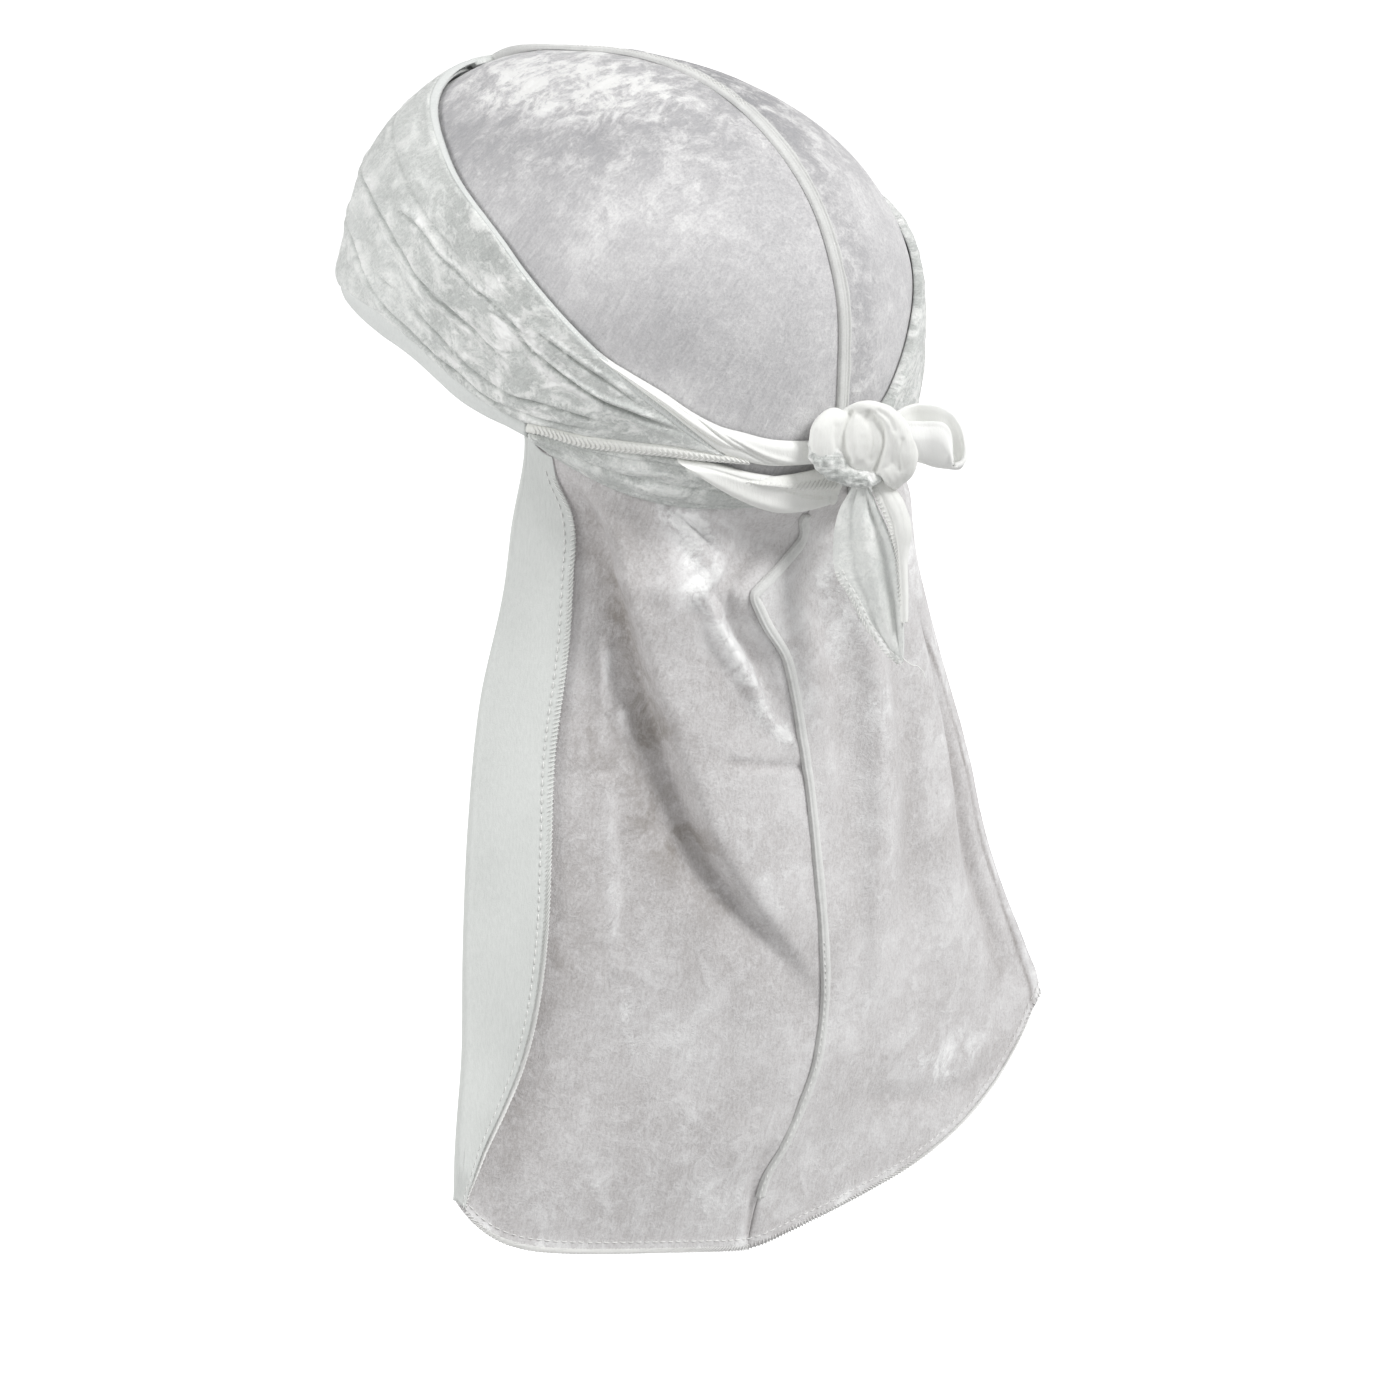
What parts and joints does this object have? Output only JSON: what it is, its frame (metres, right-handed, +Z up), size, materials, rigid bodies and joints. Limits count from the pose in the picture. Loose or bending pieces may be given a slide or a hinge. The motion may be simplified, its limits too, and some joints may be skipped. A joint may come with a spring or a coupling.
{
  "type": "durag",
  "caption": "Worn durag of crushed velvet: seamed crown, two pleated straps wrapped round it and knotted at the nape, and a long flared tail.",
  "frame": {"origin": "the inside of the crown's apex, where the top of the head sits", "axes": "+Z up along the upright head, the face looks along -Y, the tail hangs at +Y, the wearer's left is +X"},
  "size_m": [0.2462, 0.2265, 0.3822],
  "materials": {
    "velvet": "off-white crushed velvet, soft sheen",
    "knit_back": "matte off-white knit, the velvet's wrong side",
    "hem": "matte turned hem"
  },
  "bodies": {
    "root": {"crown_left": "velvet", "crown_right": "velvet", "crown_seam": "knit_back", "front_hem": "hem", "wrap_left": "velvet", "wrap_right": "velvet", "upper_strand": "knit_back", "under_wrap_left": "velvet", "under_wrap_right": "velvet", "tail_left": "velvet", "tail_right": "velvet", "tail_seam": "knit_back", "knot": "knit_back", "bow_loop": "knit_back", "strap_end_front": "velvet", "strap_end_rear": "knit_back"}
  },
  "joints": []
}
